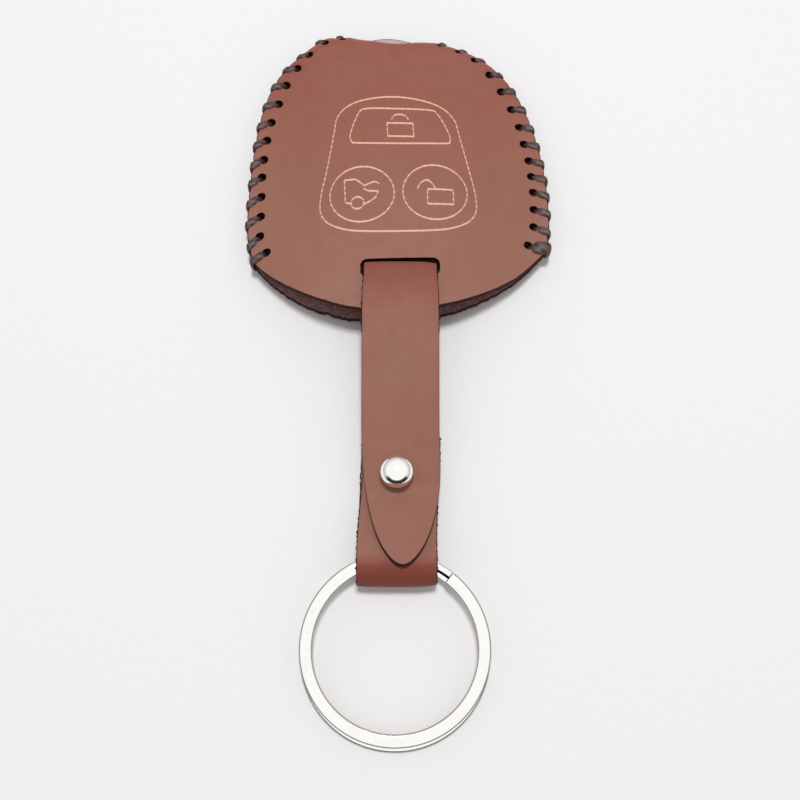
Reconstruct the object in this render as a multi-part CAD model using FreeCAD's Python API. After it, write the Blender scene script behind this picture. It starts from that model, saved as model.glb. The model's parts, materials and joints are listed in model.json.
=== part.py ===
import FreeCAD, Part
import math
import os

# A stitched leather cover for a remote key, lying on its back, with its strap and split ring.
# Millimetres. +X is right, +Y points to the cover's top, +Z is up and z = 0 is the table.
# A "rise" is measured up from the middle of the mouth, along +Y, and a "drop" down from it.

V = FreeCAD.Vector

# Leather
leather_t = 1.2
lay_gap = 0.1
seam_gap = 0.1

# Outline of the two panels
cover_length = 55.0
cover_width = 52.7
widest_rise = 18.7
mouth_rise = 10.5
corner_tuck = 1.35
shoulder_power = 2.5
shoulder_reach_share = 1.02
shoulder_steps = 12
corner_steps = 4

# Crown of the front panel and belly of the back panel
crown_height = 4.6
crown_start = 10.0
crown_power = 2.5
rim_flat = 0.75
belly_offset = 3.1
belly_run = 8.0
sheet_step = 2.2

# Whip stitching
hole_count = 14
hole_d = 1.4
hole_inset = 2.7
stitch_start = 2.0
stitch_end = 3.0
slant_share = 0.45
thread_d = 0.9
thread_gap = 0.15

# Strap and its slots
strap_width = 12.7
slot_rise = 8.9
slot_height = 3.0
slot_play = 0.3
slot_corner_r = 1.0
bend_inner_r = 0.6
lip_overhang = 0.8
knuckle_gap = 0.1
flap_fold_drop = 7.0
fold_gap = 0.3

# Tongue of the strap
tongue_tip_drop = 41.3
tongue_taper = 15.0
tip_steps = 12
tongue_gap = 0.25
tongue_bend_r = 6.0
buttonhole_gap = 0.25
slit_width = 0.4
slit_length = 1.0

# Ball stud and its screw
stud_drop = 26.3
ball_d = 5.2
ball_gap = 0.1
neck_d = 2.8
collar_d = 4.4
collar_t = 0.25
shank_d = 2.0
shank_gap = 0.05
shank_grip = 2.4
screw_head_d = 5.4
screw_head_t = 0.5
recess_gap = 0.1
driver_slot_width = 0.7
driver_slot_depth = 0.25

# Loop round the ring, and the layer that returns to the stud
loop_drop = 40.9
landing_run = 1.4
landing_r = 5.0
return_tail = 6.3

# Split ring of flat wire in two coils
ring_od = 30.0
ring_band = 2.0
coil_t = 0.95
coil_gap = 0.15
ring_play = 0.15
split_deg = 52.0
ramp_deg = 30.0
ramp_steps = 6

# How far cutting tools run past what they cut, and the shortest edge worth making
overrun = 1.0
shortest_edge = 0.001

# Heights of the layers
strap_half = strap_width / 2
layer_half = leather_t / 2
rim_base = leather_t + lay_gap
front_rim_base = rim_base + leather_t + seam_gap
front_rim_top = front_rim_base + leather_t
lip_z = front_rim_top + crown_height + lay_gap + layer_half
back_z = layer_half
return_z = leather_t + lay_gap + layer_half

# Crown and outline sizes that follow
cover_half = cover_width / 2
crown_half = cover_half - rim_flat
crown_length = cover_length - crown_start
belly_start = slot_rise + belly_offset
mouth_half = cover_half - corner_tuck
shoulder_length = (cover_length - widest_rise) * shoulder_reach_share

# The ring's bore in the loop clears the band, as wide as it bows within the strap's width
ring_r = ring_od / 2
ring_inner_r = ring_r - ring_band
ring_half_t = coil_t + coil_gap / 2
bow_inner = math.sqrt(ring_inner_r ** 2 - strap_half ** 2)
bow_half = (ring_r - bow_inner) / 2
ring_axis_r = (ring_r + bow_inner) / 2
loop_bore_r = math.hypot(bow_half, ring_half_t) + ring_play
loop_r = loop_bore_r + layer_half
loop_z = leather_t + loop_bore_r

# The ring leans down from the loop until its far edge lies on the table
ring_reach = ring_axis_r + ring_r
ring_lean = math.asin(loop_z / math.hypot(ring_reach, ring_half_t)) - math.atan(ring_half_t / ring_reach)
south_drop = loop_drop + ring_reach * math.cos(ring_lean) + ring_half_t * math.sin(ring_lean)

# The origin is under the middle of the whole length, so this is the mouth's place along Y
mouth_y = (south_drop - cover_length) / 2


def at(rise, z, x=0):
    """A point of the part: x across, rise from the mouth, z above the table."""
    return V(x, mouth_y + rise, z)


def unit(v):
    return v * (1 / v.Length)


def crown_share(x, rise):
    """1 on the middle of the cover, falling to 0 at the rim: (1 - (x/a)^n - (y/b)^n)^2."""
    along = max(rise - crown_start, 0) / crown_length
    s = (abs(x) / crown_half) ** crown_power + along ** crown_power
    return max(1 - s, 0) ** 2


def belly_share(rise):
    """0 over the strap's back leg, easing to 1 further up the back panel."""
    t = min(max((rise - belly_start) / belly_run, 0), 1)
    return t * t * (3 - 2 * t)


def front_base(x, rise):
    return front_rim_base + crown_height * crown_share(x, rise)


def back_base(x, rise):
    return rim_base * (1 - crown_share(x, rise) * belly_share(rise))


def side_edge(side):
    """One side of the outline, from the flat top down to the mouth's corner."""
    top = math.asin(((cover_length - widest_rise) / shoulder_length) ** (shoulder_power / 2))
    points = []
    for i in range(shoulder_steps + 1):
        turn = top * (1 - i / shoulder_steps)
        across = cover_half * math.cos(turn) ** (2 / shoulder_power)
        rise = widest_rise + shoulder_length * math.sin(turn) ** (2 / shoulder_power)
        points.append(at(rise, 0, side * across))
    for i in range(1, corner_steps + 1):
        t = i / corner_steps
        across = cover_half - corner_tuck * t * t
        points.append(at(widest_rise - (widest_rise - mouth_rise) * t, 0, side * across))
    curve = Part.BSplineCurve()
    curve.interpolate(points)
    return curve.toShape()


def outline_prism():
    """The panels' plan outline, as tall as the whole cover."""
    right = side_edge(1)
    left = side_edge(-1)
    mouth = Part.Arc(at(mouth_rise, 0, mouth_half), at(0, 0), at(mouth_rise, 0, -mouth_half)).toShape()
    top = Part.makeLine(left.Vertexes[0].Point, right.Vertexes[0].Point)
    wire = Part.Wire(Part.__sortEdges__([top, right, mouth, left]))
    wire.translate(V(0, 0, -overrun))
    return Part.Face(wire).extrude(V(0, 0, lip_z + 2 * overrun))


def bent_sheet(base):
    """A leather sheet whose lower face is the height field base(x, rise)."""
    x_count = 2 * math.ceil((cover_half + overrun) / sheet_step) + 1
    y_count = math.ceil((cover_length + 2 * overrun) / sheet_step) + 1
    x_low = -sheet_step * (x_count - 1) / 2
    grid = []
    for i in range(x_count):
        x = x_low + i * sheet_step
        row = []
        for j in range(y_count):
            rise = -overrun + j * sheet_step
            row.append(at(rise, base(x, rise), x))
        grid.append(row)
    surface = Part.BSplineSurface()
    surface.interpolate(grid)
    return surface.toShape().extrude(V(0, 0, leather_t))


def stitch_places(side):
    """For each stitch: its hole, and where the thread turns down outside the edge."""
    edge = side_edge(side)
    pitch = (edge.Length - stitch_start - stitch_end) / (hole_count - 1)
    places = []
    for i in range(hole_count):
        run = stitch_start + i * pitch
        ends = []
        for length, outward in ((run, -hole_inset), (run + slant_share * pitch, thread_d / 2 + thread_gap)):
            parameter = edge.getParameterByLength(length)
            along = edge.tangentAt(parameter)
            out = V(-along.y, along.x, 0) * side
            ends.append(edge.valueAt(parameter) + out * outward)
        places.append(ends)
    return places


def stitch_holes():
    drills = []
    for side in (-1, 1):
        for place in stitch_places(side):
            foot = place[0] - V(0, 0, overrun)
            drills.append(Part.makeCylinder(hole_d / 2, lip_z + 2 * overrun, foot))
    return drills


def strap_slot():
    """The slot that the strap goes through, in both panels, with rounded corners."""
    width = strap_width + 2 * slot_play
    corner = at(slot_rise - slot_height, -overrun, -width / 2)
    block = Part.makeBox(width, slot_height, lip_z + 2 * overrun, corner)
    uprights = [edge for edge in block.Edges if edge.BoundBox.ZLength > overrun]
    return block.makeFillet(slot_corner_r, uprights)


def panel(base):
    return bent_sheet(base).common(outline_prism()).cut(stitch_holes() + [strap_slot()])


def rounded_route(points, radii):
    """Straight runs through points, each inner corner rounded by a tangent arc."""
    edges = []
    start = points[0]
    for i in range(1, len(points) - 1):
        corner = points[i]
        back = unit(points[i - 1] - corner)
        ahead = unit(points[i + 1] - corner)
        half = back.getAngle(ahead) / 2
        radius = radii[i - 1]
        reach = radius / math.tan(half)
        enter = corner + back * reach
        leave = corner + ahead * reach
        middle = corner + unit(back + ahead) * (radius / math.sin(half) - radius)
        if (enter - start).Length > shortest_edge:
            edges.append(Part.makeLine(start, enter))
        edges.append(Part.Arc(enter, middle, leave).toShape())
        start = leave
    edges.append(Part.makeLine(start, points[-1]))
    return Part.Wire(edges)


def least_self_gap(wire):
    """The least gap between two stretches of a tube that aren't neighbours along it."""
    step = thread_d / 2
    points = wire.discretize(Distance=step)
    apart = math.ceil(3 * thread_d / step)
    least = wire.Length
    for i in range(len(points) - apart):
        for j in range(i + apart, len(points)):
            least = min(least, points[i].distanceToPoint(points[j]))
    return least - thread_d


def whip_thread(side):
    """One unbroken thread: up each hole, over the front, round the edge and under to the next hole."""
    lift = thread_d / 2 + thread_gap
    points = []
    turn_before = None
    for hole, turn in stitch_places(side):
        rise = hole.y - mouth_y
        low = back_base(hole.x, rise)
        high = front_base(hole.x, rise) + leather_t + lift
        if turn_before is None:
            points.append(V(hole.x, hole.y, low))
        else:
            points.append(V(turn_before.x, turn_before.y, low - lift))
            points.append(V(hole.x, hole.y, low - lift))
        points.append(V(hole.x, hole.y, high))
        points.append(V(turn.x, turn.y, high))
        turn_before = turn
    points.append(V(turn_before.x, turn_before.y, rim_base))
    route = rounded_route(points, [thread_d] * (len(points) - 2))
    print("thread on side", side, "least gap to itself", round(least_self_gap(route), 2), "mm")
    circle = Part.Wire(Part.makeCircle(thread_d / 2, points[0], V(0, 0, 1)))
    return route.makePipeShell([circle], True, False)


def strip(points, radii):
    """A leather strip of the strap's width and thickness along a route in the middle plane."""
    route = rounded_route(points, radii)
    along = unit(points[1] - points[0])
    across = V(strap_half, 0, 0)
    up = V(0, -along.z, along.y) * layer_half
    start = points[0]
    section = Part.makePolygon([start + across + up, start - across + up, start - across - up,
                                start + across - up, start + across + up])
    return route.makePipeShell([section], True, False)


def knuckle(point):
    """A rounded end on a strip, about a fold line along X."""
    return Part.makeCylinder(layer_half, strap_width, point - V(strap_half, 0, 0), V(1, 0, 0))


def upright(radius, z_low, z_high):
    """A round bar on the stud's axis."""
    return Part.makeCylinder(radius, z_high - z_low, at(-stud_drop, z_low))


# Fold line of the whole strap at the front lip, and where strips meet it
lip_rise = -lip_overhang
lip_fold = at(lip_rise, lip_z)
bridge_end = lip_rise + layer_half + knuckle_gap
bridge_rise = slot_rise - slot_play - layer_half
bend_r = bend_inner_r + layer_half

# The return layer leaves the loop's circle at a tangent and lands flat beside the stud's collar
landing = at(-stud_drop - collar_d / 2 - landing_run, return_z)
loop_centre = at(-loop_drop, loop_z)
to_landing = landing - loop_centre
slope = math.pi / 2 - math.atan2(to_landing.z, to_landing.y) - math.acos(loop_r / to_landing.Length)
loop_top = loop_centre + V(0, loop_r * math.tan(slope / 2), loop_r)

# The tongue runs straight from the lip to its low point, then climbs beside the return layer
slope_up = V(0, math.sin(slope), math.cos(slope))
tongue_low = landing + slope_up * (leather_t + tongue_gap)
leg_run = unit(tongue_low - lip_fold)
leg_fall = leg_run.z / leg_run.y
flap_fold = lip_fold + leg_run * (flap_fold_drop - lip_overhang)
tongue_climb = tongue_low.y - mouth_y + tongue_tip_drop + overrun
tongue_tip = tongue_low + V(0, -1, math.tan(slope)) * tongue_climb

# The stud's ball clears the leg's upper face at the buttonhole's high side
hole_r = neck_d / 2 + buttonhole_gap
leg_z_at_stud = lip_z - leg_fall * (stud_drop - lip_overhang)
leg_top_at_hole = leg_z_at_stud + layer_half * math.hypot(1, leg_fall) + leg_fall * hole_r
ball_r = ball_d / 2
ball_z = leg_top_at_hole + ball_gap + math.sqrt(ball_r ** 2 - hole_r ** 2)
collar_z = return_z + layer_half
shank_r = shank_d / 2
screw_top = collar_z + shank_grip


def strap_bridge():
    """The strap's fixed part: along the front, down through both slots and along the back."""
    front = [at(bridge_end, lip_z), at(bridge_rise, lip_z)]
    back = [at(bridge_rise, back_z), at(bridge_end, back_z)]
    return strip(front + back, [bend_r, bend_r])


def strap_neck():
    """The front leg from the lip to the flap's fold line."""
    end = flap_fold - leg_run * (layer_half + fold_gap)
    return strip([lip_fold, end], []).fuse(knuckle(lip_fold)).removeSplitter()


def tongue_prism():
    """Plan of the flap: straight sides, then half an ellipse to the tip."""
    taper_drop = tongue_tip_drop - tongue_taper
    points = []
    for i in range(tip_steps + 1):
        turn = math.pi * i / tip_steps
        points.append(at(-taper_drop - tongue_taper * math.sin(turn), 0, strap_half * math.cos(turn)))
    tip = Part.BSplineCurve()
    tip.interpolate(points)
    root = V(0, flap_fold.y + overrun - points[0].y, 0)
    sides = Part.makePolygon([points[-1], points[-1] + root, points[0] + root, points[0]])
    wire = Part.Wire(Part.__sortEdges__([tip.toShape()] + sides.Edges))
    return Part.Face(wire).extrude(V(0, 0, lip_z + tongue_taper))


def strap_flap():
    """The flap with its pointed tongue, buttonhole and slit."""
    leg = strip([flap_fold, tongue_low, tongue_tip], [tongue_bend_r])
    body = leg.fuse(knuckle(flap_fold)).removeSplitter()
    hole = upright(hole_r, 0, lip_z)
    slit_y = mouth_y - stud_drop - hole_r - slit_length
    slit = Part.makeBox(slit_width, hole_r + slit_length, lip_z, V(-slit_width / 2, slit_y, 0))
    return body.common(tongue_prism()).cut([hole, slit])


def strap_back_leg():
    """The back leg, the loop round the ring and the return layer under the tongue."""
    root = at(bridge_end - knuckle_gap, back_z)
    south = loop_centre.y - loop_r
    tail = at(-stud_drop + return_tail, return_z)
    points = [root, V(0, south, back_z), V(0, south, loop_top.z), loop_top, landing, tail]
    leg = strip(points, [loop_r, loop_r, loop_r, landing_r])
    recess = upright(screw_head_d / 2 + recess_gap, -overrun, screw_head_t + recess_gap)
    shank_hole = upright(shank_r + shank_gap, -overrun, collar_z + overrun)
    return leg.cut([recess, shank_hole])


def stud_ball():
    """Collar, neck and ball in one piece, with a blind bore for the screw."""
    collar = upright(collar_d / 2, collar_z, collar_z + collar_t)
    neck = upright(neck_d / 2, collar_z, ball_z)
    ball = Part.makeSphere(ball_r, at(-stud_drop, ball_z))
    bore = upright(shank_r + shank_gap, collar_z - overrun, screw_top + shank_gap)
    return collar.fuse([neck, ball]).removeSplitter().cut(bore)


def stud_screw():
    """Flat-headed screw, its head let into the back of the strap, with a driver slot."""
    head = upright(screw_head_d / 2, recess_gap / 2, recess_gap / 2 + screw_head_t)
    shank = upright(shank_r, recess_gap / 2, screw_top)
    corner = at(-stud_drop - driver_slot_width / 2, recess_gap / 2 - overrun, -screw_head_d)
    slot = Part.makeBox(2 * screw_head_d, driver_slot_width, overrun + driver_slot_depth, corner)
    return head.fuse(shank).removeSplitter().cut(slot)


def wire_section(turn, z_low):
    """The flat wire's section at an angle round the ring, as a closed rectangle."""
    out = V(math.cos(turn), math.sin(turn), 0)
    inner = out * ring_inner_r
    outer = out * ring_r
    low = V(0, 0, z_low)
    high = V(0, 0, z_low + coil_t)
    return Part.makePolygon([inner + low, outer + low, outer + high, inner + high, inner + low])


def split_ring():
    """Two flat coils joined by a ramp, lying in the loop with the far edge on the table."""
    lower = -ring_half_t
    upper = coil_gap / 2
    start = math.radians(split_deg)
    span = math.radians(ramp_deg)
    axis = V(0, 0, 1)
    coils = []
    for z_low in (lower, upper):
        face = Part.Face(wire_section(start + span, z_low))
        coils.append(face.revolve(V(0, 0, 0), axis, 360 - ramp_deg))
    sections = []
    for i in range(ramp_steps + 1):
        t = i / ramp_steps
        sections.append(wire_section(start + span * t, lower + (upper - lower) * t))
    ramp = Part.makeLoft(sections, True, True)
    ring = coils[0].fuse([ramp, coils[1]])
    ring.translate(V(0, -ring_axis_r, 0))
    ring.rotate(V(0, 0, 0), V(1, 0, 0), math.degrees(ring_lean))
    ring.translate(loop_centre)
    return ring


pieces = {
    "front_panel": panel(front_base),
    "back_panel": panel(back_base),
    "left_thread": whip_thread(-1),
    "right_thread": whip_thread(1),
    "strap_bridge": strap_bridge(),
    "strap_neck": strap_neck(),
    "strap_flap": strap_flap(),
    "strap_back_leg": strap_back_leg(),
    "stud_ball": stud_ball(),
    "stud_screw": stud_screw(),
    "split_ring": split_ring(),
}

os.makedirs("parts", exist_ok=True)
for name, shape in pieces.items():
    box = shape.BoundBox
    print(name, "solids", len(shape.Solids), "valid", shape.isValid(), "volume", round(shape.Volume, 2))
    print("    x", round(box.XMin, 2), round(box.XMax, 2), "y", round(box.YMin, 2), round(box.YMax, 2))
    print("    z", round(box.ZMin, 2), round(box.ZMax, 2))
    shape.exportStep("parts/" + name + ".step")

print("mouth middle", at(0, 0))
print("lip fold", lip_fold, "flap fold", flap_fold, "loop centre", loop_centre)
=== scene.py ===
import json
import math

import bmesh
import bpy
import numpy as np
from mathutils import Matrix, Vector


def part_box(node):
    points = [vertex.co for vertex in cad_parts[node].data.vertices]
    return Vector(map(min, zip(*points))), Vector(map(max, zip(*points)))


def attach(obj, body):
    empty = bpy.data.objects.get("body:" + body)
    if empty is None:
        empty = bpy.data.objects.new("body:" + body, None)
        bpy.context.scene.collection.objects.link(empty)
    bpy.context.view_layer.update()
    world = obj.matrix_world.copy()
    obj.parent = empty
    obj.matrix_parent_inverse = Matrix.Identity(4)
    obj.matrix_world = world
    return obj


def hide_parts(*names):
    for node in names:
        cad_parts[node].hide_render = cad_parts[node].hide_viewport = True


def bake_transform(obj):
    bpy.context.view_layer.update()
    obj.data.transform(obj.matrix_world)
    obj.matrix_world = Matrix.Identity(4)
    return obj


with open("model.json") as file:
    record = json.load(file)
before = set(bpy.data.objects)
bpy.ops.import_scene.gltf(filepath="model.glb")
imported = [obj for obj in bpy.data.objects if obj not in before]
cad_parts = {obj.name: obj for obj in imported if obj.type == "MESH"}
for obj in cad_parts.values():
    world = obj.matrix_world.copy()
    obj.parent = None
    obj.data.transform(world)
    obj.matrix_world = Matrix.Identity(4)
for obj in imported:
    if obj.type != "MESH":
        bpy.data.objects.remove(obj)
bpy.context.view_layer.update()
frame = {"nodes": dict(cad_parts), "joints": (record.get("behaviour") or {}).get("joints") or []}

# A stitched leather cover for a remote key, with its strap, ball stud and split ring.
# Shapes are worked out in millimetres and become metres as they go into a mesh. On the cover a
# "rise" is measured up from the middle of the mouth, along +Y, and a "run" along the edge from
# the cover's top.
MM = 0.001

scene = bpy.context.scene
scene.view_settings.view_transform = "Standard"


def box_mm(node):
    """Lowest and highest corner of a solid, in millimetres."""
    low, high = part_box(node)
    return np.array(low) / MM, np.array(high) / MM


front_low, front_high = box_mm("front_panel")
bridge_high = box_mm("strap_bridge")[1]
flap_low = box_mm("strap_flap")[0]
leg_low = box_mm("strap_back_leg")[0]
ball_low, ball_high = box_mm("stud_ball")
ring_high = box_mm("split_ring")[1]
hinge = {joint["name"]: np.array(joint["pos_m"]) / MM for joint in frame["joints"]}
lip = hinge["strap_swing"]
fold = hinge["flap_open"]
loop = hinge["ring_swing"]

# Leather and the layers of the cover
leather_t = 1.2
lay_gap = 0.1
half_t = leather_t / 2
rim_base = leather_t + lay_gap
front_rim_base = 2 * rim_base
mouth_y = front_low[1]
cover_length = front_high[1] - mouth_y
cover_half = front_high[0]
mirrored = np.array([-1, 1])


# Small tools
def smoothstep(t):
    """From 0 to 1 with level ends: 3 t^2 - 2 t^3."""
    t = np.clip(t, 0, 1)
    return t * t * (3 - 2 * t)


def bell(t):
    """A bell curve: 1 at 0, falling to both sides as exp(-t^2)."""
    return np.exp(-t ** 2)


def unit(v):
    """Vectors made one long."""
    return v / np.linalg.norm(v, axis=-1, keepdims=True)


def left_of(ahead):
    """Directions in a plane, turned a quarter to the left."""
    return np.stack([-ahead[..., 1], ahead[..., 0]], axis=-1)


def lengths(points):
    """Length along a polyline at each of its points."""
    return np.append(0, np.cumsum(np.linalg.norm(np.diff(points, axis=0), axis=1)))


def at_lengths(points, wanted):
    """Points at given lengths along a polyline."""
    run = lengths(points)
    return np.stack([np.interp(wanted, run, column) for column in points.T], axis=1)


def evenly(points, count):
    """Points at equal steps along a polyline."""
    return at_lengths(points, np.linspace(0, lengths(points)[-1], count))


def smooth_route(control, steps):
    """A quadratic B-spline: each three control points give one arc, between the midpoints of their runs."""
    t = (np.arange(steps) / steps)[:, None]
    a, b, c = control[:-2, None], control[1:-1, None], control[2:, None]
    return ((1 - t) ** 2 / 2 * a + (0.5 + t - t * t) * b + t * t / 2 * c).reshape(-1, control.shape[1])


def circle(turn):
    """Points of the unit circle."""
    return np.stack([np.cos(turn), np.sin(turn)], axis=1)


def round_turn(steps):
    """Angles of one whole turn, its end left out."""
    return np.linspace(0, 2 * math.pi, steps, endpoint=False)


def rounded_line(corners, radii, arc_steps=24):
    """Straight runs in a plane, each inner corner replaced by a tangent arc of its radius."""
    stretches = [corners[:1]]
    t = np.linspace(0, 1, arc_steps)[:, None]
    for before, corner, after, radius in zip(corners[:-2], corners[1:-1], corners[2:], radii):
        back, ahead = unit(before - corner), unit(after - corner)
        half = math.acos(np.clip(back @ ahead, -1, 1)) / 2
        centre = corner + unit(back + ahead) * radius / math.sin(half)
        enter = corner + back * radius / math.tan(half) - centre
        leave = corner + ahead * radius / math.tan(half) - centre
        turn = math.pi - 2 * half
        arc = (np.sin((1 - t) * turn) * enter + np.sin(t * turn) * leave) / math.sin(turn)
        stretches.append(centre + arc)
    stretches.append(corners[-1:])
    return np.concatenate(stretches)


def surface(points, finish=0, capped=False):
    """A rows x columns x 3 grid, closed round its columns: its points, its quads and each one's finish."""
    rows, columns = points.shape[:2]
    index = np.arange(rows * columns).reshape(rows, columns)
    beside = np.roll(index, -1, axis=1)
    quads = np.stack([index[:-1], index[1:], beside[1:], beside[:-1]], axis=-1).reshape(-1, 4).tolist()
    finishes = np.broadcast_to(finish, (rows - 1, columns)).ravel().tolist()
    if capped:
        quads += [index[0].tolist(), index[-1].tolist()]
        finishes += [max(finishes[:columns])] * 2
    return points.reshape(-1, 3), quads, finishes


merge_distance = 0.0005


def new_piece(name, surfaces, finishes, sharp_deg=40, attributes=()):
    """One mesh object from surfaces in mm: doubles merged, faces outward, smooth but for sharp edges."""
    starts = np.append(0, np.cumsum([len(points) for points, faces, numbers in surfaces]))
    all_points = np.concatenate([points for points, faces, numbers in surfaces])
    all_faces = []
    all_numbers = []
    for start, (points, faces, numbers) in zip(starts, surfaces):
        all_faces += [[start + corner for corner in face] for face in faces]
        all_numbers += numbers
    mesh = bpy.data.meshes.new(name)
    mesh.from_pydata((all_points * MM).tolist(), [], all_faces)
    mesh.polygons.foreach_set("material_index", all_numbers)
    for key, values in attributes:
        mesh.attributes.new(key, "FLOAT", "POINT").data.foreach_set("value", np.ravel(values))
    form = bmesh.new()
    form.from_mesh(mesh)
    bmesh.ops.remove_doubles(form, verts=form.verts, dist=merge_distance * MM)
    bmesh.ops.recalc_face_normals(form, faces=form.faces)
    form.to_mesh(mesh)
    form.free()
    for finish in finishes:
        mesh.materials.append(finish)
    mesh.shade_smooth()
    mesh.set_sharp_from_angle(angle=math.radians(sharp_deg))
    piece = bpy.data.objects.new(name, mesh)
    scene.collection.objects.link(piece)
    return piece


def cut_away(piece, cutters, finishes, sharp_deg=40):
    """Takes the cutters' forms out of a piece. The walls of its holes get its cut-edge finish."""
    tool = new_piece("cutter", cutters, finishes)
    cuts = piece.modifiers.new("cuts", "BOOLEAN")
    cuts.operation = "DIFFERENCE"
    cuts.solver = "EXACT"
    cuts.object = tool
    depsgraph = bpy.context.evaluated_depsgraph_get()
    piece.data = bpy.data.meshes.new_from_object(piece.evaluated_get(depsgraph))
    piece.modifiers.clear()
    bpy.data.objects.remove(tool)
    piece.data.shade_smooth()
    piece.data.set_sharp_from_angle(angle=math.radians(sharp_deg))
    piece.data.name = piece.name
    return piece


def upright(plan, z_low, z_high):
    """A closed outline in plan, as an upright cutter."""
    ends = [np.column_stack([plan, np.full(len(plan), z)]) for z in (z_low, z_high)]
    return surface(np.stack(ends), cut, capped=True)


# Materials
def linear(code):
    """A hex sRGB colour as linear RGBA."""
    srgb = np.array([int(code[i:i + 2], 16) for i in (1, 3, 5)]) / 255
    rgb = np.where(srgb <= 0.04045, srgb / 12.92, ((srgb + 0.055) / 1.055) ** 2.4)
    return (*rgb.tolist(), 1.0)


def per_mm(size):
    """The texture scale at which a pattern's features are about that many millimetres apart."""
    return 1 / (size * MM)


# Sockets of the Mix node, for colours and for plain numbers
mix_by, mix_a, mix_b, mix_out = 0, 6, 7, 2
number_a, number_b = 2, 3


def connect(tree, node, inputs):
    """Gives each input of a node its value, or links it to an output.

    A node stands for its main output, and a hex code for its colour.
    """
    for socket, value in inputs.items():
        if isinstance(value, str):
            value = linear(value)
        if isinstance(value, bpy.types.Node):
            value = value.outputs[mix_out if getattr(value, "data_type", "") == "RGBA" else 0]
        if isinstance(value, bpy.types.NodeSocket):
            tree.links.new(value, node.inputs[socket])
        else:
            node.inputs[socket].default_value = value


def add(tree, kind, inputs, **settings):
    """One shader node, with its own settings and its inputs."""
    made = tree.nodes.new("ShaderNode" + kind)
    for key, value in settings.items():
        setattr(made, key, value)
    connect(tree, made, inputs)
    return made


def new_material(name):
    """An empty node material, with its tree, its shader and its object coordinates."""
    material = bpy.data.materials.new(name)
    material.use_nodes = True
    tree = material.node_tree
    place = add(tree, "TexCoord", {}).outputs["Object"]
    return material, tree, tree.nodes["Principled BSDF"], place


# Between these heights along the cover, raw leather is painted paler: a painted highlight where the rolled
# top edge catches the light
top_highlight_start = 52.0
top_highlight_end = 59.0


def grain_leather(name, tone, red_tone, fold_shade_tone, deep_tone, red_from, red_to):
    """Smooth full-grain cowhide, dyed and lightly waxed: even tone, faint clouds, fine pores, a soft sheen.

    The colour is redder towards the cover's top and on a bend, and where it is folded hard, painted shade of
    the fold darkens it.
    """
    material, tree, shader, place = new_material(name)
    cloud = add(tree, "TexNoise", {"Vector": place, "Scale": per_mm(22), "Detail": 2.0})
    fleck = add(tree, "TexNoise", {"Vector": place, "Scale": per_mm(2.6), "Detail": 4.0, "Roughness": 0.6})
    # Real pores are nearer 0.1 mm and wouldn't show
    pore = add(tree, "TexVoronoi", {"Vector": place, "Scale": per_mm(0.45), "Randomness": 1.0})
    crease = add(tree, "TexNoise", {"Vector": place, "Scale": per_mm(0.8), "Detail": 5.0, "Roughness": 0.65})
    bend = add(tree, "Attribute", {}, attribute_name="bend")
    along = add(tree, "SeparateXYZ", {0: place})
    upward = add(tree, "MapRange", {"Value": along.outputs["Y"], "From Min": red_from * MM,
                                    "From Max": red_to * MM, "To Max": 0.75})
    clouded = add(tree, "MapRange", {"Value": cloud, "From Min": 0.35, "From Max": 0.65, "To Max": 0.14})
    reddish = add(tree, "Math", {0: upward, 1: clouded}, operation="ADD")
    redder = add(tree, "Math", {0: reddish, 1: bend.outputs["Fac"]}, operation="MAXIMUM", use_clamp=True)
    dyed = add(tree, "Mix", {mix_by: redder, mix_a: tone, mix_b: red_tone}, data_type="RGBA")
    # Painted shade: past half the bend, the colour darkens towards the fold tone, for the shade in a hard
    # fold
    fold_shade = add(tree, "MapRange", {"Value": bend.outputs["Fac"], "From Min": 0.5, "From Max": 1.0})
    base = add(tree, "Mix", {mix_by: fold_shade, mix_a: dyed, mix_b: fold_shade_tone}, data_type="RGBA")
    flecked = add(tree, "MapRange", {"Value": fleck, "From Min": 0.5, "From Max": 0.8, "To Max": 0.12})
    pitted = add(tree, "MapRange", {"Value": pore, "From Max": 0.32, "To Min": 0.22, "To Max": 0.0})
    marks = add(tree, "Math", {0: flecked, 1: pitted}, operation="MAXIMUM")
    colour = add(tree, "Mix", {mix_by: marks, mix_a: base, mix_b: deep_tone}, data_type="RGBA")
    height = add(tree, "Math", {0: crease, 1: pitted}, operation="SUBTRACT")
    bump = add(tree, "Bump", {"Strength": 0.3, "Distance": 0.05 * MM, "Height": height})
    gloss = add(tree, "MapRange", {"Value": fleck, "From Min": 0.3, "From Max": 0.7,
                                   "To Min": 0.56, "To Max": 0.66})
    connect(tree, shader, {"Base Color": colour, "Roughness": gloss,
                           "Normal": bump, "Specular IOR Level": 0.28})
    return material


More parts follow.
